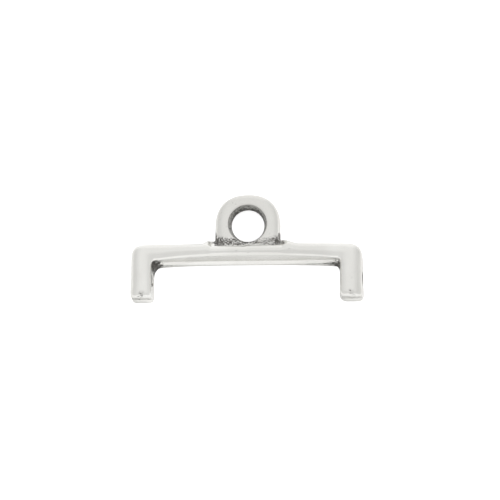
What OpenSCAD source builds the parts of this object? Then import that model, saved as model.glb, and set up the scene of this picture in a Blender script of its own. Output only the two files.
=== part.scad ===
// Beadwork end cap: a one-piece cast bracket with two drilled legs and a ring loop.
// X runs along the bar, +Y points from the feet to the loop, and the flat back lies on z = 0.

/* [Overall] */
// Width across the two feet
overall_w = 20; // [17:0.5:26]
// Depth from the flat back to the crown of the front
depth = 2.5; // [2.3:0.1:3]

/* [Legs] */
// Length of a leg, from the top of the bar to the end of the foot
leg_len = 4.73; // [4.6:0.01:7]
// Width of a leg, seen from the front
leg_w = 1.96; // [1.6:0.02:2]
// How much further in the back edge of a leg stands than its front ridge
leg_step = 0.09; // [0.04:0.01:0.14]
// How far the foot swells on each side
foot_flare = 0.05; // [0:0.01:0.08]
// How far the outer side leans out from the corner to the foot
leg_splay = 0.02; // [0:0.02:0.12]

/* [Bar] */
// Depth of the front ridge below the straight line of the top, in the middle of the bar
face_mid = 1.07; // [1:0.01:1.2]
// The same depth next to a corner
face_end = 1.39; // [1.25:0.01:1.44]
// Depth of the back edge below the same line, in the middle of the bar
back_mid = 1.5; // [1.45:0.01:1.6]
// The same depth next to a corner
back_end = 1.64; // [1.58:0.01:1.8]
// How far the top of the bar arches up towards the middle
top_crown = 0.07; // [0:0.01:0.15]
// Rise of the top where it flares up to the loop
flare_rise = 0.33; // [0.2:0.01:0.45]
// Radius of the web in each inner corner
web_r = 0.44; // [0.4:0.02:0.7]

/* [Loop] */
// Half the width of the loop
loop_r = 2.8; // [2.7:0.02:3]
// Height of the loop's middle above the bar
loop_up = 1.61; // [1.55:0.01:1.9]
// Thickness of the loop, front to back
loop_t = 2; // [1.8:0.1:2.2]
// Height of the loop's middle plane above the flat back
loop_z = 1.15; // [1.1:0.01:1.2]
// Radius of the narrowest part of the loop's hole
bore_r = 1.39; // [1.2:0.01:1.46]
// Length of the straight part of that hole
bore_land = 0.5; // [0.3:0.1:0.8]
// Height of that hole above the bar
bore_up = 1.73; // [1.7:0.01:1.85]
// How far each mouth of that hole opens out
bore_flare = 0.26; // [0.1:0.02:0.3]

/* [Thread holes] */
// Diameter of the thread hole through each leg
thread_d = 1.06; // [0.6:0.02:1.2]
// Height of the thread hole above the end of the foot
thread_up = 1.74; // [1.4:0.02:1.9]
// Width of the broken edge round each mouth of a thread hole
thread_edge = 0.08; // [0.02:0.01:0.12]

/* [Hidden] */
silver = [0.80, 0.79, 0.77];
$fn = 96;
spare = 1;

half_w = overall_w / 2;
loop_top = loop_up + loop_r;
// The finished casting is centred on its own outline from the feet to the top of the loop
lift = (leg_len - loop_top) / 2;

// A section is a ring of corners, each cut off by a short curve of STEPS pieces.
// FACE is the share of the front face's width from the outer side, UNDER the share of the
// further step to the back edge, Z the share of the depth and CUT the length that is rounded.
// SINK_IN and SINK_Z move a corner where the bar is scooped out in front of the loop, LEG moves
// it in on a leg, and END_UNDER and END_Z move it on and up towards the ends of the bar.
FACE = 0;
UNDER = 1;
Z = 2;
CUT = 3;
SINK_IN = 4;
SINK_Z = 5;
LEG = 6;
END_UNDER = 7;
END_Z = 8;
STEPS = 3;
section_rows = [
    [0.00, 0.00, 0.00,  0.14, 0.00,  0.00,  0.00, 0,     0],     // outer back edge
    [0.00, 0.00, 0.79,  0.30, 0.00, -0.45,  0.03, 0,     0],     // outer side below the crown
    [0.24, 0.00, 0.965, 0.34, 0.37, -0.06,  0.06, 0,     0],     // outer shoulder of the crown
    [0.55, 0.00, 1.00,  0.30, 0.28,  0.00,  0.12, 0,     0],     // top of the crown
    [0.86, 0.00, 0.96,  0.20, 0.00,  0.00,  0.04, 0,     0],     // inner shoulder of the crown
    [1.00, 0.00, 0.87,  0.10, 0.00,  0.00,  0.00, 0,     0],     // front ridge
    [1.00, 0.10, 0.56,  0.24, 0.00,  0.00,  0.00, -0.16, 0.12],  // hollow behind the ridge
    [1.00, 0.32, 0.25,  0.08, 0.00,  0.00,  0.00, -0.42, 0.24],  // edge of the ledge
    [1.00, 0.94, 0.14,  0.08, 0.00,  0.00,  0.00, 0,     0.20],  // ledge at the back
    [1.00, 1.00, 0.00,  0.05, 0.00,  0.00,  0.00, 0,     0]      // inner back edge
];

// Rows up a leg from the end of the foot: height, share of the leg's width, share of its height.
// The hollow and the ledge run round the end of the foot as well.
UP = 0;
ACROSS = 1;
HIGH = 2;
foot_rows = [
    [0.00, 0.720, 0.270],
    [0.05, 0.800, 0.310],
    [0.10, 0.855, 0.350],
    [0.12, 0.870, 0.860],
    [0.15, 0.890, 0.930],
    [0.21, 0.925, 0.965],
    [0.30, 0.960, 0.985],
    [0.45, 0.990, 1.000],
    [0.80, 1.000, 1.000],
    [1.30, 1.000, 1.000]
];
swell_from = 0.35;
swell_to = 1.3;

// The corner turns fastest half way round, so the sections stand closest there
corner_angles = [0, 15, 26, 34, 40, 45, 50, 56, 64, 75, 90];
turned_in = 60;
outer_power = 4.5;
ridge_power = 3.5;
web_power = 2;
sag_power = 3;
cut_limit = 0.45;
bar_step = 0.62;
flare_from = 3.15;
flare_to = 4.15;
scoop_from = 2.95;
scoop_to = 3.75;

function mix(a, b, t) = a + (b - a) * t;
function smooth(t) = let (c = max(0, min(1, t))) c * c * (3 - 2 * c);
function unit(v) = v / norm(v);

// Distance from a corner's centre to a rounded corner of half sizes a and b, at an angle
function corner_reach(angle, a, b, power) =
    1 / pow(pow(cos(angle) / a, power) + pow(sin(angle) / b, power), 1 / power);

// Each corner of an outline is replaced by a curve that starts and ends cut before it, but
// never past cut_limit of the way to the next corner, and a corner with no cut stays sharp
function soften(corners, cuts) = [
    for (i = [0 : len(corners) - 1])
        let (
            p = corners[i],
            before = corners[(i + len(corners) - 1) % len(corners)],
            after = corners[(i + 1) % len(corners)],
            a = p + min(cuts[i], cut_limit * norm(before - p)) * unit(before - p),
            b = p + min(cuts[i], cut_limit * norm(after - p)) * unit(after - p)
        )
        for (k = [0 : cuts[i] > 0 ? STEPS : 0])
            let (t = k / STEPS)
            a * pow(1 - t, 2) + 2 * p * t * (1 - t) + b * pow(t, 2)
];

function bar_top(x) =
    top_crown * (1 - pow(x / half_w, 2))
    + flare_rise * smooth((flare_to - abs(x)) / (flare_to - flare_from));
function scoop(x) = smooth((scoop_to - abs(x)) / (scoop_to - scoop_from));

function outer_side(y) = half_w - foot_flare - leg_splay * (y + leg_len) / leg_len;
function backwards(list) = [for (i = [len(list) - 1 : -1 : 0]) list[i]];

// A station is a cross-section: its outer point, its inward direction, the width of its front
// face, the further step to its back edge, its shares of width and height, its share of the
// scoop, its share of a leg and its share of the bar's end.
function leg_station(side, row) =
    let (
        y = row[UP] - leg_len,
        swell = foot_flare * (1 - smooth((row[UP] - swell_from) / (swell_to - swell_from))),
        outer = outer_side(y) + swell,
        inner = outer_side(y) - leg_w + leg_step - swell
    )
    [[side * outer, y], [-side, 0], outer - inner, leg_step, [row[ACROSS], row[HIGH]], 0, 1, 1];

corner_y = -back_end - web_r;
corner_x = outer_side(corner_y) - leg_w - web_r;

function corner_station(side, angle) =
    let (
        out = [side * cos(angle), sin(angle)],
        top = bar_top(side * corner_x) - corner_y,
        outer = corner_reach(angle, leg_w + web_r, top, outer_power),
        ridge = corner_reach(angle, web_r + leg_step, -corner_y - face_end, ridge_power),
        web = corner_reach(angle, web_r, web_r, web_power),
        leg = 1 - smooth(angle / turned_in)
    )
    [[side * corner_x, corner_y] + outer * out, -out, outer - ridge, ridge - web, [1, 1], 0, leg, 1];

function bar_station(x) =
    let (
        outwards = pow(abs(x) / corner_x, sag_power),
        ridge = mix(face_mid, face_end, outwards),
        back = mix(back_mid, back_end, outwards)
    )
    [[x, bar_top(x)], [0, -1], bar_top(x) + ridge, back - ridge, [1, 1], scoop(x), 0, outwards];

bar_count = floor(2 * corner_x / bar_step);
stations = concat(
    [for (row = foot_rows) leg_station(-1, row)],
    [for (angle = corner_angles) corner_station(-1, angle)],
    [for (i = [1 : bar_count - 1]) bar_station(mix(-corner_x, corner_x, i / bar_count))],
    [for (angle = corner_angles) corner_station(1, 90 - angle)],
    [for (row = backwards(foot_rows)) leg_station(1, row)]
);

function section(station) =
    let (
        face = station[2],
        under = station[3],
        size = station[4],
        sink = station[5],
        leg = station[6],
        end = station[7],
        middle = [(face + under) / 2, 0],
        corners = [
            for (row = section_rows) [
                (row[FACE] + row[LEG] * leg) * face
                    + (row[UNDER] + row[END_UNDER] * end) * under + row[SINK_IN] * sink,
                (row[Z] + row[END_Z] * end) * depth + row[SINK_Z] * sink
            ]
        ],
        cuts = [for (row = section_rows) row[CUT]]
    )
    [
        for (p = soften(corners, cuts))
            [mix(middle[0], p[0], size[0]), mix(middle[1], p[1], size[1])]
    ];

// A closed body from rings of equal length joined one to the next, with both ends filled
module stack(rings) {
    ring_len = len(rings[0]);
    last = len(rings) - 1;
    sides = [
        for (i = [0 : last - 1])
            for (j = [0 : ring_len - 1])
                let (
                    a = i * ring_len + j,
                    b = i * ring_len + (j + 1) % ring_len,
                    c = b + ring_len,
                    d = a + ring_len
                )
                for (face = [[a, c, b], [a, d, c]]) face
    ];
    first_end = [for (j = [0 : ring_len - 1]) j];
    last_end = [for (j = [ring_len - 1 : -1 : 0]) last * ring_len + j];
    polyhedron(
        points = [for (ring = rings) for (p = ring) p],
        faces = concat(sides, [first_end, last_end])
    );
}

module bracket() {
    stack([
        for (station = stations) [
            for (p = section(station))
                let (place = station[0] + station[1] * p[0])
                [place[0], place[1], p[1]]
        ]
    ]);
}

// Profile of the loop's front half from its flat face outwards, a row for each corner:
// share of half the loop's width, share of half its thickness and the length that is rounded
REACH = 0;
RISE = 1;
ROUND = 2;
loop_rows = [
    [0.76, 1.00, 0.14],
    [0.93, 0.84, 0.24],
    [1.00, 0.48, 0.36]
];
loop_power = 2.35;
loop_turn = 5;

// A round whose shoulders are a little fuller than a circle's
function arm(share) = sign(share) * pow(abs(share), 2 / loop_power);

// The loop seen from the front at a distance from its middle: a half round on a stem
function loop_outline(reach) = concat(
    [[reach, -face_mid / 2]],
    [for (turn = [0 : loop_turn : 180]) [reach * arm(cos(turn)), loop_up + reach * arm(sin(turn))]],
    [[-reach, -face_mid / 2]]
);

module loop_blank() {
    front = [for (row = loop_rows) [row[REACH] * loop_r, row[RISE] * loop_t / 2]];
    back = [for (p = backwards(front)) [p[0], -p[1]]];
    front_cuts = [for (row = loop_rows) row[ROUND]];
    profile = soften(
        concat([[0, loop_t / 2]], front, back, [[0, -loop_t / 2]]),
        concat([0], front_cuts, backwards(front_cuts), [0])
    );
    stack([
        for (i = [len(profile) - 2 : -1 : 1])
            [for (p = loop_outline(profile[i][0])) [p[0], p[1], loop_z + profile[i][1]]]
    ]);
}

// The loop's hole: a short straight land that curves open towards both faces.
// Its cutter has a row at each share of the way out to the face, and the last is past the face.
mouth_shares = [0, 0.2, 0.4, 0.6, 0.8, 1.3];
module loop_hole() {
    mouth_len = loop_t / 2 - bore_land / 2;
    front = [
        for (t = mouth_shares)
            [bore_r + bore_flare * pow(t, 2), bore_land / 2 + mouth_len * t]
    ];
    back = [for (p = backwards(front)) [p[0], -p[1]]];
    translate([0, bore_up, loop_z])
        rotate_extrude()
            polygon(concat([[0, back[0][1]]], back, front, [[0, -back[0][1]]]));
}

// One thread hole along X with broken edges, for the leg on the given side
module thread_hole(side) {
    y = thread_up - leg_len;
    outer = outer_side(y);
    inner = outer - leg_w;
    thread_r = thread_d / 2;
    translate([0, y, depth / 2])
        rotate([0, side * 90, 0]) {
            translate([0, 0, inner - spare])
                cylinder(r = thread_r, h = leg_w + 2 * spare);
            translate([0, 0, inner - thread_edge])
                cylinder(r1 = thread_r + 2 * thread_edge, r2 = thread_r, h = 2 * thread_edge);
            translate([0, 0, outer - thread_edge])
                cylinder(r1 = thread_r, r2 = thread_r + 2 * thread_edge, h = 2 * thread_edge);
        }
}

module end_cap() {
    color(silver)
        translate([0, lift, 0])
            difference() {
                union() {
                    bracket();
                    loop_blank();
                }
                loop_hole();
                thread_hole(-1);
                thread_hole(1);
            }
}

end_cap();
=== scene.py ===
import math
from collections import namedtuple

import bpy
import bmesh
import numpy as np
from mathutils import Matrix, Vector


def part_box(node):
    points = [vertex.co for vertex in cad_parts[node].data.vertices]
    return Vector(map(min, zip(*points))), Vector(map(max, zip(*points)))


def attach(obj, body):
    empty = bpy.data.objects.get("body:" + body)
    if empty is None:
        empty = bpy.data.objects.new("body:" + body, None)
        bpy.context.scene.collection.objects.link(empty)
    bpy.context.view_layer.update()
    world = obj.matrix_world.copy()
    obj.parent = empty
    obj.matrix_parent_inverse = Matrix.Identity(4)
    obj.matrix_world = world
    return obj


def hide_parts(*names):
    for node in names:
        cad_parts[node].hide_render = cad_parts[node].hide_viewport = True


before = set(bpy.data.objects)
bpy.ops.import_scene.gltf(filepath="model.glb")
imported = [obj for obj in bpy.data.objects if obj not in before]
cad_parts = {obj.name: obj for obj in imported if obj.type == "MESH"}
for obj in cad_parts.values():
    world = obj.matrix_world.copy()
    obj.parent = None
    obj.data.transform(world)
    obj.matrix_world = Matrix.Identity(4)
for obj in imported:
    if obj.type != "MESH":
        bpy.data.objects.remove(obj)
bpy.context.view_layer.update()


# The rail is the bar and its two legs: zinc alloy cast in one mould, then plated with silver.
# The front is a crown that falls to a ridge, and below the ridge a hollow and a ledge lead back to
# the flat back. One cross-section is carried from the left foot, round both corners, to the right.
MM = 0.001  # the casting is drawn in millimetres and turned into metres at the end
cad_low, cad_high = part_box("end_cap")
skin_loss = 0.01  # the smoothing of the skin takes at least this off each face
width = round((cad_high.x - cad_low.x) / MM + 2 * skin_loss, 2)
depth = round((cad_high.z - cad_low.z) / MM + skin_loss, 2)
half_w = width / 2

# Where the two halves differ by hand finishing, a size is given as {-1: left, 1: right}
leg_len = 4.71  # from the top of the bar to the end of a foot
leg_w = {-1: 1.90, 1: 2.03}  # seen from the front
leg_step = 0.09  # how much further in the back edge of a leg stands than its front ridge
foot_swell = 0.05  # on each side of a foot
splay = 0.02  # how far the outer side leans out from the corner to the foot
foot_middle = {-1: 0.52, 1: 0.36}  # the share of a foot's width where its rounding is centred
foot_round = {-1: 0.9, 1: 1.3}  # how far a foot is rounded, against the rows of foot_rows
# How far the ridge and the back edge lie below the straight line of the bar's top
ridge_mid, ridge_end = 1.07, {-1: 1.43, 1: 1.35}
back_mid, back_end = 1.50, {-1: 1.66, 1: 1.62}
ledge_rise = {-1: 1.0, 1: 1.2}  # how far the ledge climbs towards the ends of the bar
sag_power = 3.0  # how late the ridge and the back edge fall towards the ends of the bar
arch = 0.07  # rise of the top of the bar towards its middle
flare = {-1: 0.30, 1: 0.36}  # its further rise under the loop
# Distances from the middle of the bar at which the flare is whole and at which it ends
flare_near, flare_far = {-1: 3.30, 1: 3.00}, {-1: 3.80, 1: 4.50}
# The same distances for the scoop that is taken out of the bar in front of the loop
scoop_near, scoop_far = 2.9, 3.7
web_x, web_y = {-1: 0.52, 1: 0.36}, {-1: 0.66, 1: 0.72}  # reach of a web on the bar and the leg
outer_power = {-1: 5.2, 1: 4.4}  # squareness of the outer corner
ridge_power = {-1: 5.5, 1: 6.0}  # squareness of the ridge in the corner
web_power = {-1: 1.6, 1: 2.4}  # squareness of the web's edge
loop_up, loop_r = 1.61, 2.80  # the loop's middle above the bar, and half its width
lift = (leg_len - loop_up - loop_r) / 2  # centres the casting from its feet to its loop


def mix(a, b, t):
    return a + (b - a) * t


def ease(t):
    t = np.clip(t, 0.0, 1.0)
    return t * t * (3 - 2 * t)


def rounded(corners, cuts, steps=6, cut_limit=0.48):
    """The outline with each corner replaced by a curve that begins cut before it."""
    outline = []
    for i, corner in enumerate(corners):
        before, after = corners[i - 1], corners[(i + 1) % len(corners)]
        back, on = before - corner, after - corner
        a = corner + back * min(cuts[i] / np.linalg.norm(back), cut_limit)
        b = corner + on * min(cuts[i] / np.linalg.norm(on), cut_limit)
        for t in np.linspace(0, 1, steps if cuts[i] else 1):
            outline.append(a * (1 - t) ** 2 + 2 * corner * t * (1 - t) + b * t**2)
    return np.array(outline)


# A corner of the cross-section lies at a share of the front face's width from the outer side, on
# by a share of the further step to the back edge, and up by a share of the depth. Cut is its
# rounding. Scoop moves it in and up, in millimetres, where the bar is scooped out. On_leg moves it
# in on a leg, and at_end on and up towards the ends of the bar, by shares of the same sizes.
Corner = namedtuple("Corner", "inwards on up cut scoop on_leg at_end", defaults=((0, 0), 0, (0, 0)))
section_corners = [
    Corner(0.00, 0.00, 0.00, 0.14),  # outer back edge
    Corner(0.00, 0.00, 0.79, 0.24, scoop=(0.00, -0.45), on_leg=0.03),  # outer side
    Corner(0.24, 0.00, 0.965, 0.34, scoop=(0.37, -0.06), on_leg=0.06),  # outer shoulder
    Corner(0.55, 0.00, 1.00, 0.30, scoop=(0.28, 0.00), on_leg=0.12),  # top of the crown
    Corner(0.86, 0.00, 0.96, 0.20, on_leg=0.04),  # inner shoulder
    Corner(1.00, 0.00, 0.87, 0.08),  # front ridge
    Corner(1.00, 0.10, 0.56, 0.24, at_end=(-0.16, 0.12)),  # hollow behind the ridge
    Corner(1.00, 0.32, 0.25, 0.05, at_end=(-0.42, 0.24)),  # edge of the ledge
    Corner(1.00, 0.92, 0.15, 0.04, at_end=(-0.20, 0.24)),  # ledge
    Corner(1.00, 0.93, 0.10, 0.03, at_end=(-0.16, 0.20)),  # groove behind the ledge
    Corner(1.00, 1.00, 0.06, 0.03, at_end=(0.00, 0.08)),  # lip at the back
    Corner(1.00, 1.00, 0.00, 0.02),  # inner back edge
]


def bar_top(x):
    """Height of the top of the bar over the straight line through its ends."""
    side = 1 if x > 0 else -1
    swell = ease((flare_far[side] - abs(x)) / (flare_far[side] - flare_near[side]))
    return arch * (1 - (x / half_w) ** 2) + flare[side] * swell


def leg_side(y):
    """Distance of a leg's outer side from the middle, at a height on the leg."""
    return half_w - foot_swell - splay * (y + leg_len) / leg_len


def station(at, inward, face, step, leg, end, scoop=0.0, across=1.0, high=1.0, about=0.5):
    """One cross-section in place: its outer point, its direction inwards and its two widths.
    Leg, end and scoop say how far it is a leg's, a bar end's or a scooped one, where 1 is wholly.
    Across and high shrink it towards the flat back, about a share of its width."""
    corners = np.array([
        ((c.inwards + c.on_leg * leg) * face + (c.on + c.at_end[0] * end) * step
         + c.scoop[0] * scoop,
         (c.up + c.at_end[1] * end) * depth + c.scoop[1] * scoop)
        for c in section_corners
    ])
    outline = rounded(corners, [c.cut for c in section_corners])
    middle = np.array(((face + step) * about, 0.0))
    outline = middle + np.array((across, high)) * (outline - middle)
    return [(at[0] + inward[0] * d, at[1] + inward[1] * d + lift, z) for d, z in outline]


# The end of a foot from its tip upwards: the distance from the tip, the share of the leg's width
# and the share of its depth there. The lip runs round it as it does along the bar.
foot_rows = [
    (0.00, 0.70, 0.05), (0.015, 0.75, 0.14), (0.03, 0.78, 0.26), (0.035, 0.785, 0.29),
    (0.10, 0.855, 0.33), (0.105, 0.86, 0.60), (0.11, 0.865, 0.80), (0.12, 0.87, 0.88),
    (0.15, 0.89, 0.935), (0.20, 0.92, 0.968), (0.28, 0.955, 0.985), (0.45, 0.99, 0.995),
    (0.70, 1.00, 1.00),
]
swell_up, swell_fade = 0.35, 0.95  # a foot's swell is whole so far up, and fades out over this


def leg_station(side, up, across=1.0, high=1.0):
    """A leg's section at a height above the end of its foot."""
    y = up - leg_len
    across = 1 - (1 - across) * foot_round[side]
    swell = foot_swell * (1 - ease((up - swell_up) / swell_fade))
    outer = leg_side(y) + swell
    inner = leg_side(y) - leg_w[side] + leg_step - swell
    return station(
        (side * outer, y), (-side, 0), outer - inner, leg_step,
        1.0, ledge_rise[side], 0.0, across, high, foot_middle[side]
    )


corner_y = {side: -back_end[side] - web_y[side] for side in (-1, 1)}
corner_x = {side: leg_side(corner_y[side]) - leg_w[side] - web_x[side] for side in (-1, 1)}
leg_shape_ends = 60  # degrees round the corner, where the leg's section has become the bar's


def corner_station(side, angle):
    """A section across a corner, at an angle round the web's centre: 0 is the leg, 90 the bar."""
    turn = math.radians(angle)

    def reach(a, b, power):
        """Distance from the web's centre to a rounded corner of half sizes a and b."""
        return ((math.cos(turn) / a) ** power + (math.sin(turn) / b) ** power) ** (-1 / power)

    middle_x, middle_y, web = corner_x[side], corner_y[side], web_x[side]
    outer = reach(leg_w[side] + web, bar_top(side * middle_x) - middle_y, outer_power[side])
    ridge = reach(web + leg_step, -middle_y - ridge_end[side], ridge_power[side])
    inner = reach(web, web_y[side], web_power[side])
    out = (side * math.cos(turn), math.sin(turn))
    at = (side * middle_x + out[0] * outer, middle_y + out[1] * outer)
    leg = 1 - ease(angle / leg_shape_ends)
    return station(
        at, (-out[0], -out[1]), outer - ridge, ridge - inner, leg, ledge_rise[side]
    )


def bar_station(x):
    """A section of the bar at a distance from its middle."""
    side = 1 if x > 0 else -1
    outwards = (abs(x) / corner_x[side]) ** sag_power
    ridge = mix(ridge_mid, ridge_end[side], outwards)
    back = mix(back_mid, back_end[side], outwards)
    scoop = ease((scoop_far - abs(x)) / (scoop_far - scoop_near))
    return station(
        (x, bar_top(x)), (0, -1), bar_top(x) + ridge, back - ridge,
        0.0, outwards * ledge_rise[side], scoop
    )


def capped_tube(name, rings):
    """A closed body from outlines of equal length joined one to the next, with both ends filled."""
    rings = np.array(rings, float)
    count, length = rings.shape[:2]
    faces = [
        (i * length + j, i * length + (j + 1) % length,
         (i + 1) * length + (j + 1) % length, (i + 1) * length + j)
        for i in range(count - 1) for j in range(length)
    ]
    faces += [tuple(range(length)), tuple(range((count - 1) * length, count * length))]
    body = bmesh.new()
    points = [body.verts.new(p) for p in rings.reshape(-1, 3)]
    for face in faces:
        body.faces.new([points[i] for i in face])
    bmesh.ops.recalc_face_normals(body, faces=body.faces)
    bmesh.ops.triangulate(body, faces=body.faces)
    mesh = bpy.data.meshes.new(name)
    body.to_mesh(mesh)
    body.free()
    made = bpy.data.objects.new(name, mesh)
    bpy.context.scene.collection.objects.link(made)
    return made


# A corner turns fastest half way round, so its sections stand closest there
corner_rows = [0, 8, 15, 21, 26, 30, 34, 37, 40, 42.5, 45, 47.5, 50, 53, 56, 60, 64, 69, 75, 82, 90]
leg_row_count, first_leg_row, last_row_gap = 8, 0.9, 0.12
bar_row_count = 91


def side_rows(side):
    """The sections of one leg and its corner, from the foot to the bar."""
    last_leg_row = leg_len + corner_y[side] - last_row_gap
    leg_rows = [(up, 1.0, 1.0) for up in np.linspace(first_leg_row, last_leg_row, leg_row_count)]
    return (
        [leg_station(side, *row) for row in foot_rows + leg_rows]
        + [corner_station(side, angle) for angle in corner_rows]
    )


bar_rows = np.linspace(-corner_x[-1], corner_x[1], bar_row_count)[1:-1]
rail = capped_tube("rail", side_rows(-1) + [bar_station(x) for x in bar_rows] + side_rows(1)[::-1])


# The loop stands on the middle of the bar and takes a jump ring. It is cast with the rail: a
# thick flat ring with rounded outer edges, whose straight sides run down into the bar.
# Its outline is drawn once and stacked from the back face to the front face.
loop_t, loop_z = 2.0, 1.15  # its thickness, and the height of its middle above the flat back
loop_x = 0.07  # the loop came out of the mould a hair off the middle of the bar
loop_root = -ridge_mid / 2  # how deep its straight sides run into the bar
loop_power = 2.35  # a little squarer at its shoulders than a circle
loop_turns = 97
# Its edge, as shares of half its width and half its thickness, with the rounding of each corner
loop_rows = [(0.76, 1.00, 0.30), (0.93, 0.84, 0.24), (1.00, 0.48, 0.42)]


def loop_outline(reach):
    """The loop seen from the front at a distance from its middle: a half round on a stem."""
    def arm(share):
        return reach * math.copysign(abs(share) ** (2 / loop_power), share)

    turns = np.radians(np.linspace(0, 180, loop_turns))
    round_top = [(loop_x + arm(math.cos(a)), loop_up + arm(math.sin(a))) for a in turns]
    return [(loop_x + reach, loop_root)] + round_top + [(loop_x - reach, loop_root)]


loop_side = [np.array((share * loop_r, rise * loop_t / 2)) for share, rise, cut in loop_rows]
loop_side = [np.array((0.0, loop_t / 2))] + loop_side
loop_cuts = [0.0] + [cut for share, rise, cut in loop_rows]
loop_side += [p * np.array((1, -1)) for p in reversed(loop_side)]
loop_cuts += loop_cuts[::-1]
loop_profile = rounded(loop_side, loop_cuts)[1:-1]
loop = capped_tube("loop", [
    [(x, y + lift, loop_z + z) for x, y in loop_outline(reach)] for reach, z in loop_profile
])


# Three holes are cast and drilled: the loop's, which opens out towards both faces, and one for the
# beading thread through each leg, with its edges broken.
# They are turned cutters, taken out of the rail and the loop together.
bore_r, bore_up, bore_open = 1.39, 1.73, 0.28  # the loop's hole, and how far its mouths open
mouth_curve, mouth_past, mouth_rows = 1.15, 1.2, 10  # the cutter ends a little past the faces
thread_r, thread_up, thread_edge = 0.53, 1.74, 0.08  # a leg's hole, and its broken edge
beyond = 1.0  # how far the cutter stands out of the leg
thread_y = thread_up - leg_len
thread_out = leg_side(thread_y)
thread_in = thread_out - max(leg_w.values())


def turned(name, place, profile, round_steps=96):
    """A round cutter, from rows of its distance along its axis and its radius there."""
    angles = np.linspace(0, 2 * math.pi, round_steps, endpoint=False)
    return capped_tube(name, [
        [place(r * math.cos(a), r * math.sin(a), along) for a in angles] for along, r in profile
    ])


mouth = [
    (loop_t / 2 * t, bore_r + bore_open * t**mouth_curve)
    for t in np.linspace(0, mouth_past, mouth_rows)
]
bore = turned(
    "bore",
    lambda u, v, along: (loop_x + u, bore_up + lift + v, loop_z + along),
    [(-along, r) for along, r in reversed(mouth[1:])] + mouth,
)
thread_profile = [
    (thread_in - beyond, thread_r + 2 * thread_edge),
    (thread_in - thread_edge, thread_r + 2 * thread_edge),
    (thread_in + thread_edge, thread_r),
    (thread_out - thread_edge, thread_r),
    (thread_out + thread_edge, thread_r + 2 * thread_edge),
    (thread_out + beyond, thread_r + 2 * thread_edge),
]
thread_holes = [
    turned(
        "thread_hole",
        lambda u, v, along, side=side: (side * along, thread_y + lift + u, depth / 2 + v),
        thread_profile,
    )
    for side in (-1, 1)
]


# The rail and the loop are one casting, so they become one skin with soft cast fillets.
# The skin keeps the slight swell of the mould and small casting pits, and each pit is a real
# dent. The pits are strewn over the surface by a Geometry Nodes tree with a fixed seed.
skin_grid = 0.057
fillet_factor, fillet_rounds = 0.5, 2
pits_per_mm2, pit_r, pit_depth, skin_seed = 0.35, 0.08, 0.014, 7
swell_size, swell_height = 1.7, 0.018
ripple_size, ripple_height = 0.42, 0.007


class Reading:
    """A value over the surface. Each step of arithmetic on it adds a Math node to its recipe."""

    def __init__(self, recipe, socket):
        self.recipe, self.socket = recipe, socket

    def maths(self, operation, *parts):
        return self.recipe.node(
            "ShaderNodeMath", {"operation": operation}, dict(enumerate(parts))
        )

    def __add__(self, other):
        return self.maths("ADD", self, other)

    def __sub__(self, other):
        return self.maths("SUBTRACT", self, other)

    def __rsub__(self, other):
        return self.maths("SUBTRACT", other, self)

    def __mul__(self, other):
        return self.maths("MULTIPLY", self, other)

    __radd__, __rmul__ = __add__, __mul__

    def most(self, other):
        return self.maths("MAXIMUM", self, other)

    def size(self):
        return self.maths("ABSOLUTE", self)

    def ramp(self, low, high):
        """0 at low and 1 at high, with a soft start and end."""
        return self.recipe.node(
            "ShaderNodeMapRange",
            {"interpolation_type": "SMOOTHSTEP"},
            {"Value": self, "From Min": low, "From Max": high},
        )

    def other(self, name):
        """Another output of the same node."""
        return Reading(self.recipe, self.socket.node.outputs[name])


class Recipe:
    """A node tree that is written as arithmetic on readings."""

    def __init__(self, tree):
        self.tree = tree

    def node(self, kind, settings=None, values=None):
        """Adds a node, with its settings first and then its sockets' values or links."""
        made = self.tree.nodes.new(kind)
        for name, value in (settings or {}).items():
            setattr(made, name, value)
        for slot, value in (values or {}).items():
            if isinstance(value, Reading):
                self.tree.links.new(value.socket, made.inputs[slot])
            else:
                made.inputs[slot].default_value = value
        shown = [s for s in made.outputs if s.enabled]
        return Reading(self, shown[0]) if shown else made


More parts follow.
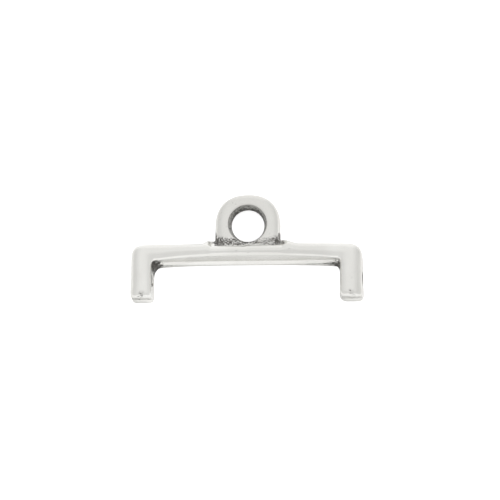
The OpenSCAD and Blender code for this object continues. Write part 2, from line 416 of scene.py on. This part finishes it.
def cast_skin_tree():
    """Swells, ripples and pits the skin, and keeps the pits' places as the attribute pit."""
    tree = bpy.data.node_groups.new("cast_skin", "GeometryNodeTree")
    tree.is_modifier = True
    slots = {}
    for name, kind in (
        ("Geometry", "Geometry"), ("Pits per square mm", "Float"), ("Pit radius", "Float"),
        ("Pit depth", "Float"), ("Swell size", "Float"), ("Swell height", "Float"),
        ("Ripple size", "Float"), ("Ripple height", "Float"), ("Seed", "Int"),
        ("Metal", "Material"),
    ):
        slots[name] = tree.interface.new_socket(
            name=name, in_out="INPUT", socket_type="NodeSocket" + kind
        ).identifier
    tree.interface.new_socket(name="Geometry", in_out="OUTPUT", socket_type="NodeSocketGeometry")
    recipe = Recipe(tree)
    given = recipe.node("NodeGroupInput")
    skin = given.other("Geometry")
    place = recipe.node("GeometryNodeInputPosition")

    def waves(size, detail):
        """Noise over the skin about a size given in millimetres, from -1 to 1."""
        finer = recipe.node("ShaderNodeMath", {"operation": "DIVIDE"}, {0: 1.0, 1: size})
        noise = recipe.node(
            "ShaderNodeTexNoise",
            {"noise_dimensions": "4D"},
            {"Vector": place, "W": given.other("Seed"), "Scale": finer, "Detail": detail},
        )
        return noise * 2.0 - 1.0

    strewn = recipe.node(
        "GeometryNodeDistributePointsOnFaces",
        {"distribute_method": "RANDOM"},
        {"Mesh": skin, "Density": given.other("Pits per square mm"), "Seed": given.other("Seed")},
    )
    near = recipe.node(
        "GeometryNodeProximity", {"target_element": "POINTS"}, {"Geometry": strewn}
    ).other("Distance")
    ragged = waves(given.other("Ripple size") * 2.0, 1.0) * 0.5 + 1.0
    reach = given.other("Pit radius") * ragged
    pit = 1.0 - near.ramp(0.0, reach)
    height = (
        waves(given.other("Swell size"), 1.0) * given.other("Swell height")
        + waves(given.other("Ripple size"), 2.0) * given.other("Ripple height")
        - pit * given.other("Pit depth")
    )
    normal = recipe.node("GeometryNodeInputNormal")
    push = recipe.node(
        "ShaderNodeVectorMath", {"operation": "SCALE"}, {"Vector": normal, "Scale": height}
    )
    kept = recipe.node(
        "GeometryNodeStoreNamedAttribute",
        {"data_type": "FLOAT", "domain": "POINT"},
        {"Geometry": skin, "Name": "pit", "Value": pit},
    )
    moved = recipe.node("GeometryNodeSetPosition", {}, {"Geometry": kept, "Offset": push})
    whole = recipe.node("GeometryNodeRealizeInstances", {}, {"Geometry": moved})
    coated = recipe.node(
        "GeometryNodeSetMaterial", {}, {"Geometry": whole, "Material": given.other("Metal")}
    )
    recipe.node("NodeGroupOutput", {}, {"Geometry": coated})
    return tree, slots


def oxidised_silver_and_painted_shade():
    """Silver plate with a dark oxide left in its recesses and polished off everywhere else; the
    same dark and a duller grey also carry painted shade.
    """
    polished, clouded = (0.822, 0.818, 0.788, 1.0), (0.790, 0.782, 0.752, 1.0)
    dulled_and_shaded = (0.620, 0.612, 0.578, 1.0)
    oxide_and_shade_black, oxide_and_shade_grey = (0.040, 0.038, 0.034, 1.0), (0.135, 0.128, 0.115, 1.0)
    speck_share, blotch_share = 3.4, 0.5
    drawn_out = 0.10  # the polishing lines have so many waves along the stroke for one across it
    bump_strength, bump_height = 0.35, 0.01 * MM

    metal = bpy.data.materials.new("oxidised_silver_and_painted_shade")
    metal.use_nodes = True
    metal.node_tree.nodes.clear()
    recipe = Recipe(metal.node_tree)
    place = recipe.node("ShaderNodeTexCoord").other("Object")

    def waves(per_mm, detail=2.0, rough=0.5, stretch=(1.0, 1.0, 1.0)):
        """Noise with so many waves to a millimetre, from 0 to 1."""
        scaled = recipe.node(
            "ShaderNodeVectorMath", {"operation": "MULTIPLY"}, {0: place, 1: stretch}
        )
        return recipe.node(
            "ShaderNodeTexNoise", {},
            {"Vector": scaled, "Scale": per_mm / MM, "Detail": detail, "Roughness": rough},
        )

    def over(coat):
        """One of the coats that the skin carries as an attribute."""
        return recipe.node("ShaderNodeAttribute", {"attribute_name": coat}).other("Fac")

    def blend(share, first, second):
        return recipe.node(
            "ShaderNodeMix", {"data_type": "RGBA"}, {0: share, 6: first, 7: second}
        )

    tarnish = waves(0.35, 3.0)
    grain = waves(5.0, 3.0, 0.6)
    speckle = waves(7.5, 2.0, 0.6)
    blotch = waves(2.2)
    along_bar = waves(2.6, stretch=(drawn_out, 1.0, 1.0))
    along_leg = waves(2.6, stretch=(1.0, drawn_out, 1.0))
    oxide_and_shade, dulling_and_shade, pit, leg = over("oxide_and_shade"), over("dulling_and_shade"), over("pit"), over("leg")
    # The oxide and the painted shade laid on with it break up into specks, and a little oxide stays
    # in the casting pits
    broken = (speckle - 0.5) * speck_share + (blotch - 0.5) * blotch_share
    dark = (oxide_and_shade + oxide_and_shade.ramp(0.02, 0.30) * broken).ramp(0.15, 0.90).most(pit * 0.15)
    streak = along_bar * (1.0 - leg) + along_leg * leg
    # The duller grey is partly painted shade: in the hollow, on the legs' outer sides and on the
    # feet's ends
    silver_colour = blend(dulling_and_shade, blend(tarnish.ramp(0.35, 0.7), polished, clouded), dulled_and_shaded)
    colour = blend(dark, silver_colour, blend(grain.ramp(0.35, 0.7), oxide_and_shade_black, oxide_and_shade_grey))
    rough = 0.15 + tarnish * 0.07 + grain * 0.03 + dulling_and_shade * 0.06 + dark * 0.25
    bump = recipe.node(
        "ShaderNodeBump", {},
        {"Strength": bump_strength, "Distance": bump_height,
         "Height": grain * 0.25 + streak * 1.6 + dark * (speckle * 2.0)},
    )
    shader = recipe.node(
        "ShaderNodeBsdfPrincipled", {},
        {"Base Color": colour, "Metallic": 1.0 - dark * 0.5, "Roughness": rough,
         "Normal": bump},
    )
    recipe.node("ShaderNodeOutputMaterial", {}, {"Surface": shader})
    return metal


silver = oxidised_silver_and_painted_shade()
for other, how in ((loop, "UNION"), (bore, "DIFFERENCE"),
                   (thread_holes[0], "DIFFERENCE"), (thread_holes[1], "DIFFERENCE")):
    cut = rail.modifiers.new(other.name, "BOOLEAN")
    cut.solver, cut.operation, cut.object = "EXACT", how, other
remesh = rail.modifiers.new("skin", "REMESH")
remesh.mode, remesh.voxel_size, remesh.use_smooth_shade = "VOXEL", skin_grid, True
fillet = rail.modifiers.new("fillet", "SMOOTH")
fillet.factor, fillet.iterations = fillet_factor, fillet_rounds
tree, slots = cast_skin_tree()
skin = rail.modifiers.new("cast_skin", "NODES")
skin.node_group = tree
for name, value in (
    ("Pits per square mm", pits_per_mm2), ("Pit radius", pit_r), ("Pit depth", pit_depth),
    ("Swell size", swell_size), ("Swell height", swell_height),
    ("Ripple size", ripple_size), ("Ripple height", ripple_height), ("Seed", skin_seed),
    ("Metal", silver),
):
    skin[slots[name]] = value
bpy.context.view_layer.update()
finished = rail.evaluated_get(bpy.context.evaluated_depsgraph_get())
mesh = bpy.data.meshes.new_from_object(finished)
for part in [rail, loop, bore] + thread_holes:
    bpy.data.objects.remove(part)
mesh.name = "end_cap_casting"
casting = bpy.data.objects.new("end_cap_casting", mesh)
bpy.context.scene.collection.objects.link(casting)


# The mould left ragged pits in the front edge of each foot and small nicks along the ridge.
# They are pressed into the finished skin one by one, and a little oxide stays in each.
def skin_vectors(kind):
    """The skin's points or normals as rows of three."""
    values = np.zeros(len(mesh.vertices) * 3, np.float32)
    mesh.vertices.foreach_get(kind, values)
    return values.reshape(-1, 3).astype(float)


points, normals = skin_vectors("co"), skin_vectors("normal")


def dent(middle, reach, deep, coat):
    """Presses a soft round dent into the skin and gives the oxide left in it."""
    far = np.linalg.norm(points - np.array(middle), axis=1)
    share = 1 - ease(far / reach)
    points[:] = points - normals * (share * deep)[:, None]
    return share * coat


# Each foot pit: across, up from the foot's end, up from the back, its radius, depth and oxide
foot_pits = [
    (-9.07, 0.34, 2.42, 0.26, 0.05, 0.50),
    (-8.86, 0.35, 2.42, 0.28, 0.06, 0.46),
    (-9.20, 0.14, 2.10, 0.26, 0.04, 0.52),
    (-8.90, 0.16, 2.20, 0.42, 0.07, 0.45),
    (-8.98, 0.12, 1.60, 0.26, 0.05, 0.50),
    (8.98, 0.27, 2.40, 0.28, 0.07, 0.74),
    (8.82, 0.46, 2.46, 0.16, 0.04, 0.62),
    (9.12, 0.14, 2.05, 0.36, 0.07, 0.60),
]
# Each ridge nick: its place, its radius, depth and oxide
ridge_nicks = [
    ((-4.85, -1.00, 1.98), 0.16, 0.04, 0.20),
    ((-3.30, -0.98, 1.90), 0.15, 0.04, 0.40),
    ((-3.05, -0.98, 1.84), 0.13, 0.03, 0.45),
    ((-2.68, -0.98, 1.84), 0.15, 0.04, 0.45),
    ((-2.38, -0.97, 1.90), 0.12, 0.03, 0.35),
    ((0.10, -0.94, 1.95), 0.14, 0.03, 0.20),
    ((2.90, -0.96, 1.95), 0.14, 0.04, 0.30),
    ((3.42, -1.00, 2.00), 0.12, 0.03, 0.20),
    ((6.80, -1.18, 2.02), 0.15, 0.04, 0.35),
    ((7.15, -1.22, 1.96), 0.12, 0.03, 0.30),
]
foot_tip = lift - leg_len
dents = [
    dent((across, foot_tip + up, high), reach, deep, coat)
    for across, up, high, reach, deep, coat in foot_pits
]
dents += [dent(*nick) for nick in ridge_nicks]
mesh.vertices.foreach_set("co", points.astype(np.float32).ravel())


# The plate is dipped in a darkening bath and polished, and the oxide stays where the wheel doesn't
# reach: in the loop's hole, along the loop's foot and in both inner corners. The same coat also
# carries painted shade: the line along the back edge beside the corners and the inside of the
# thread holes are partly oxide and partly painted shade, and a band across the end of each foot is
# painted shade. A coat's strength is given at each point, and 1 is solid.
x, z = points[:, 0], points[:, 2]
y = points[:, 1] - lift  # from here on y is measured from the straight line of the bar's top
from_centre = np.abs(x)
from_middle = np.abs(x - loop_x)


def ramp(value, low, high):
    """0 at low and 1 at high, with a soft start and end. Low may lie above high."""
    return ease((value - low) / (high - low))


def between(value, low, high):
    return (value > low) & (value < high)


def by_side(values):
    """The left or the right value at each point of the skin."""
    return np.where(x < 0, values[-1], values[1])


def oxide_in_hole():
    """Inside the loop's hole, darkest at its top and thinner on the rim of each mouth."""
    low_coat, top_coat, rim_coat = 0.60, 0.80, 0.55
    top_from, top_to = 0.2, 1.2
    rim_from, rim_to, rim_end = 0.05, 0.19, 0.26
    from_wall = np.hypot(x - loop_x, y - bore_up) - bore_r
    coat = mix(low_coat, top_coat, ramp(y - bore_up, top_from, top_to))
    coat *= mix(1.0, rim_coat, ramp(from_wall, rim_from, rim_to))
    return coat * ramp(from_wall, rim_end, rim_to)


def oxide_at_loop_foot():
    """Where the loop's front face meets the bar, with a thin streak out along the bar."""
    middle_coat, side_coat, right_thin = 0.64, 0.90, 0.78
    foot_y, middle_fade, side_fade = 0.28, 0.30, 0.60
    bar_y, bar_fade = -0.18, 0.08
    back_z, front_z = 0.2, 2.20
    streak_y, streak_fall, streak_reach, streak_coat = {-1: 0.17, 1: 0.34}, 0.20, 0.11, 0.9
    streak_from, streak_to = 0.10, 0.85
    fade = mix(middle_fade, side_fade, ramp(from_middle, 1.2, 2.5))
    coat = mix(middle_coat, side_coat, ramp(from_middle, 1.7, 2.5))
    coat *= ramp(y, foot_y + fade, foot_y) * ramp(y, bar_y - bar_fade, bar_y)
    from_stem = from_middle - loop_r
    line_y = by_side(streak_y) - streak_fall * np.clip(from_stem, 0, None)
    streak = streak_coat * ramp(np.abs(y - line_y), streak_reach, 0)
    coat *= mix(1.0, streak, ramp(from_stem, -0.06, 0.06))
    coat *= ramp(from_stem, streak_to, streak_from) * between(z, back_z, front_z)
    return coat * mix(1.0, right_thin, ramp(x, 0.6, 1.1))


def oxide_up_stem():
    """A small triangle up each side of the loop's stem, from the corner it makes with the bar."""
    side_reach, up_reach = {-1: 0.42, 1: 0.70}, {-1: 1.25, 1: 1.05}
    corner_up, full, end, most = 0.15, 0.6, 1.1, 0.95
    away = (loop_r - from_middle) / by_side(side_reach) + (y - corner_up) / by_side(up_reach)
    return most * ramp(away, end, full) * (y > 0.02) * (from_middle < loop_r + 0.05)


def oxide_in_corners():
    """A wedge, across the whole hollow at the leg, then ever thinner and lower along the ledge,
    where the polished lip below it stays bright. It also runs down the inside of the leg."""
    leg_inside, slope = {-1: 8.20, 1: 7.98}, math.radians(13.0)
    wedge_high, wedge_fall, wedge_soft = {-1: 0.82, 1: 0.72}, {-1: 0.28, 1: 0.22}, {-1: 0.5, 1: 0.8}
    wedge_coat = {-1: 1.60, 1: 1.25}
    wedge_full, wedge_end = {-1: 0.25, 1: 0.15}, {-1: 1.35, 1: 2.15}
    lip_top, lip_gap, lip_thin = 0.17, 0.02, 0.25
    lip_from, lip_fade = {-1: 0.72, 1: 0.42}, 0.2
    tail_y, tail, tail_coat, tail_soft = -1.50, {-1: 1.15, 1: 0.80}, 1.4, 0.6
    tail_low, tail_high, tail_fade = 0.45, 1.7, 0.3
    from_leg = np.clip(by_side(leg_inside) - from_centre, 0, None)
    outwards = np.clip(from_centre / by_side(corner_x), 0, 1) ** sag_power
    back_edge = mix(back_mid, by_side(back_end), outwards)
    rise = np.sin(slope) * z + np.cos(slope) * (y + back_edge)
    wedge_top = by_side(wedge_high) - by_side(wedge_fall) * from_leg
    share = np.clip((wedge_top - rise) / (wedge_top - lip_top - lip_gap), 0, 1)
    on_bar = by_side(wedge_coat) * ramp(from_leg, by_side(wedge_end), by_side(wedge_full))
    on_bar *= share ** by_side(wedge_soft)
    lip_start = by_side(lip_from)
    on_lip = mix(1.0, lip_thin, ramp(from_leg, lip_start, lip_start + lip_fade))
    on_bar *= np.where(rise < lip_top, on_lip, 1.0)
    from_bar = np.clip(tail_y - y, 0, None)
    tail_share = np.clip(1 - from_bar / by_side(tail), 0, 1)
    tail_top = tail_low + tail_high * tail_share
    on_leg = tail_coat * tail_share**tail_soft * ramp(z, tail_top + tail_fade, tail_top)
    inside = (from_centre < 8.42) & (y < -1.05) & (z < 2.02)
    return np.where(from_leg >= from_bar, on_bar, on_leg) * inside


def oxide_and_shade_on_back_line():
    """A fine dark line in the groove behind the ledge, painted shade in the crease and partly
    oxide, stronger towards both ends of the bar.
    """
    groove_z, groove_climb, groove_reach = 0.30, {-1: 0.42, 1: 0.66}, 0.14
    bar_end, middle_coat, end_coat = 8.0, 0.10, {-1: 0.50, 1: 0.60}
    end_from, end_to = {-1: 5.6, 1: 3.4}, {-1: 7.0, 1: 6.0}
    climb = np.clip(from_centre / bar_end, 0, 1) ** sag_power
    from_groove = np.abs(z - groove_z - by_side(groove_climb) * climb)
    coat = ramp(from_groove, groove_reach, 0) * (from_centre < bar_end) * between(y, -1.9, -1.3)
    towards_end = ramp(from_centre, by_side(end_from), by_side(end_to))
    return coat * mix(middle_coat, by_side(end_coat), towards_end)


def oxide_and_shade_in_thread_holes():
    """Inside the two thread holes: oxide with painted shade. The right one is painted much darker
    than the left.
    """
    most, inner_side = {-1: 0.2, 1: 1.3}, 7.6
    from_wall = np.hypot(y - thread_y, z - depth / 2) - thread_r
    return by_side(most) * ramp(from_wall, 0.12, 0.02) * (from_centre > inner_side)


foot_wall = ramp(y + leg_len, 0.20, 0.12) * ramp(z, 0.80, 0.92)
# Painted shade: a dark band across the end of each foot, a painted reflection of the shaded card in
# front of it
painted_shade_on_feet = 0.25 * foot_wall * ramp(z, 1.8, 1.5)
strongest_coat = 1.4
# The coat holds oxide and, from the back line, the thread holes and the feet, painted shade
oxide_and_shade = np.clip(np.maximum.reduce([
    oxide_in_hole(), oxide_at_loop_foot(), oxide_up_stem(), oxide_in_corners(),
    oxide_and_shade_on_back_line(), oxide_and_shade_in_thread_holes(), painted_shade_on_feet, *dents
]), 0, strongest_coat)


def dulling_and_painted_shade():
    """Dulls the silver towards a darker grey. In the hollow, on the outer sides of the legs and on
    the ends of the feet this is painted shade; on the loop, along the middle of the crown and the
    ridge and on the right leg it only makes the plate darker."""
    hollow_left, hollow_right, hollow_corner = 0.56, 0.12, 0.25
    crown_x, ridge_z = 2.5, 2.12
    on_loop = ramp(y, 0.35, 0.60)
    # Painted shade in the hollow behind the ridge
    painted_shade_in_hollow = between(y, -1.55, -1.0) * between(z, 0.7, 2.0) * ramp(from_centre, 8.1, 7.7)
    painted_shade_in_hollow *= mix(hollow_left, hollow_right, ramp(x, -2.0, 2.0)) * ramp(x, 6.0, 5.0)
    painted_shade_in_hollow *= mix(1.0, hollow_corner, ramp(x, -4.7, -5.9))
    on_crown = ramp(np.abs(x - crown_x), 5.5, 3.5) * ramp(y, 0.4, 0.2) * ramp(z, 2.0, 2.15)
    on_ridge = ramp(np.abs(z - ridge_z), 0.25, 0) * (y < -0.85) * ramp(from_centre, 5.0, 3.0)
    # Painted shade down the outer sides of the legs
    painted_shade_on_flank = ramp(from_centre, 9.25, 9.60)
    on_right_leg = ramp(x, 7.9, 8.2) * ramp(y, -0.6, -1.0)
    # Painted shade on the ends of the feet
    painted_shade_on_foot_end = foot_wall * ramp(z, 1.9, 1.6)
    return (
        0.38 * on_loop + painted_shade_in_hollow + 0.22 * on_crown + 0.36 * on_ridge + 0.28 * painted_shade_on_flank
        + 0.10 * on_right_leg + painted_shade_on_foot_end
    )


# The polishing lines run along the bar, and down the legs where this is 1
on_legs = ramp(from_centre, 7.9, 8.4) * ramp(y, -0.7, -1.3)
for coat, share in (("oxide_and_shade", oxide_and_shade), ("dulling_and_shade", dulling_and_painted_shade()), ("leg", on_legs)):
    mesh.attributes.new(coat, "FLOAT", "POINT").data.foreach_set(
        "value", share.astype(np.float32))
mesh.transform(Matrix.Scale(MM, 4))
mesh.update()
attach(casting, "root")
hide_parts("end_cap")


# The end cap lies on its flat back on a sheet of white card in a pale room. A wide soft lamp
# stands low on its right and a weaker one on its left, so the card beside each leg is lit.
card_size = 1.2
card_white, card_rough, fibres_per_m = (0.93, 0.93, 0.93, 1.0), 0.75, 900.0
card_glow = 0.70  # the card is lit brighter than the end cap, as in a cut-out picture
lamp_size = 0.40
lamps = {"soft_lamp": ((0.46, 0.14, 0.28), 2.10), "fill_lamp": ((-0.46, -0.10, 0.28), 0.30)}

bpy.ops.mesh.primitive_plane_add(size=card_size, location=(0, 0, 0))
card = bpy.context.object
card.name = "white_card"
paper = bpy.data.materials.new("white_card")
paper.use_nodes = True
paper.node_tree.nodes.clear()
paper_recipe = Recipe(paper.node_tree)
fibre = paper_recipe.node("ShaderNodeTexNoise", {}, {"Scale": fibres_per_m, "Detail": 3.0})
glow = paper_recipe.node("ShaderNodeLightPath").other("Is Camera Ray") * card_glow
paper_shader = paper_recipe.node(
    "ShaderNodeBsdfPrincipled", {},
    {"Base Color": card_white, "Roughness": card_rough + fibre * 0.2,
     "Emission Color": glow, "Emission Strength": 1.0},
)
paper_recipe.node("ShaderNodeOutputMaterial", {}, {"Surface": paper_shader})
card.data.materials.append(paper)

for name, (place, energy) in lamps.items():
    lamp_data = bpy.data.lights.new(name, "AREA")
    lamp_data.shape, lamp_data.size, lamp_data.energy = "DISK", lamp_size, energy
    lamp = bpy.data.objects.new(name, lamp_data)
    lamp.location = place
    lamp.rotation_euler = lamp.location.to_track_quat("Z", "Y").to_euler()
    lamp.visible_glossy = False
    bpy.context.scene.collection.objects.link(lamp)


# The room is what the silver mirrors: pale all round and lighter past the loop, with a bright
# skirting past the feet and a lighter strip at the far right. Each of them fades in between two
# shares of the direction along X or Y, from -1 to 1.
wall_light, upper_light, top_light, skirting_light, right_light = 0.84, 0.14, 0.10, 0.27, 0.06
room = bpy.data.worlds.new("pale_room")
room.use_nodes = True
room.node_tree.nodes.clear()
room_recipe = Recipe(room.node_tree)
sky = room_recipe.node("ShaderNodeTexCoord").other("Generated")
to_right = room_recipe.node("ShaderNodeSeparateXYZ", {}, {0: sky})
to_side = to_right.size()
past_loop = to_right.other("Y")
past_feet = 0.0 - past_loop
upper = past_loop.ramp(-0.25, 0.25) * upper_light + past_loop.ramp(0.75, 0.95) * top_light
skirting = past_feet.ramp(0.88, 0.96) * skirting_light
shade = (
    wall_light + upper * to_side.ramp(0.80, 0.20) + (1.0 - to_side.ramp(0.12, 0.55)) * skirting
    + to_right.ramp(0.85, 0.99) * right_light
)
background = room_recipe.node(
    "ShaderNodeBackground", {}, {"Color": (1.0, 1.0, 1.0, 1.0), "Strength": shade}
)
room_recipe.node("ShaderNodeOutputWorld", {}, {"Surface": background})
bpy.context.scene.world = room
bpy.context.scene.view_settings.view_transform = "Standard"


# The camera looks down on the end cap from far off, leaning a little towards its feet and its
# right side. The picture is 500 pixels square and 42.8 mm wide at the end cap.
picture_width, lens, sensor = 42.8 * MM, 200.0, 36.0
lean, turn, roll = math.radians(13.0), math.radians(3.8), math.radians(0.5)
aim = Vector((0.0, 0.06, 1.15)) * MM
shift_right, shift_down = 0.242 * MM, 0.270 * MM
towards = Vector((math.tan(turn), -math.tan(lean), 1.0)).normalized()
upright = Vector((0.0, math.cos(lean), math.sin(lean)))
right = upright.cross(towards)
right, upright = (
    right * math.cos(roll) - upright * math.sin(roll),
    right * math.sin(roll) + upright * math.cos(roll),
)
middle = aim + right * shift_right - upright * shift_down
camera_data = bpy.data.cameras.new("camera")
camera_data.lens, camera_data.sensor_width = lens, sensor
camera_data.clip_start, camera_data.clip_end = 0.01, 10.0
camera = bpy.data.objects.new("camera", camera_data)
camera.matrix_world = Matrix.Translation(middle + towards * (picture_width * lens / sensor)) @ (
    Matrix((right, upright, towards)).transposed().to_4x4()
)
bpy.context.scene.collection.objects.link(camera)
bpy.context.scene.camera = camera
